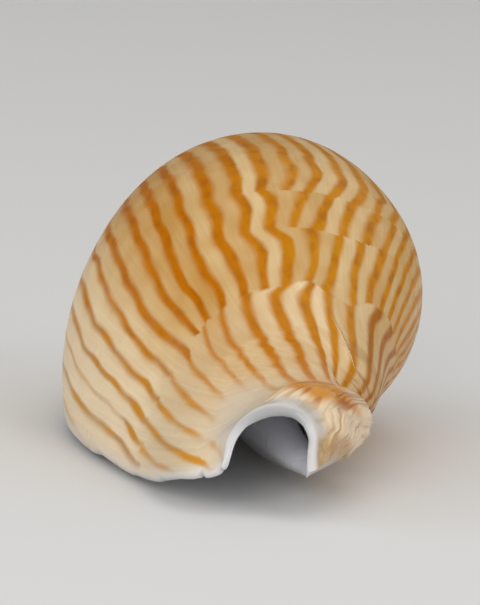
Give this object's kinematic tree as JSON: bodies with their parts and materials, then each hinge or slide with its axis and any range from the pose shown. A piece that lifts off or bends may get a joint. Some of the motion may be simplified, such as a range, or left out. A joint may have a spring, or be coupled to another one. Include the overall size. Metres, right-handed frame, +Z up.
{
  "type": "volute shell",
  "caption": "Glossy spiral sea snail shell, cream with wavy orange-brown stripes, lying on its long open aperture.",
  "frame": {"origin": "centre of the bounding box, on the surface the shell lies on", "axes": "+Z up, with the aperture facing down; +Y along the shell towards the spire, so the open anterior end with its notch points to -Y; +X towards the columella side, with the outer lip at -X"},
  "size_m": [0.0316, 0.0768, 0.0255],
  "materials": {
    "shell_cream": "gloss"
  },
  "bodies": {
    "root": {"shell": "shell_cream"}
  },
  "joints": []
}
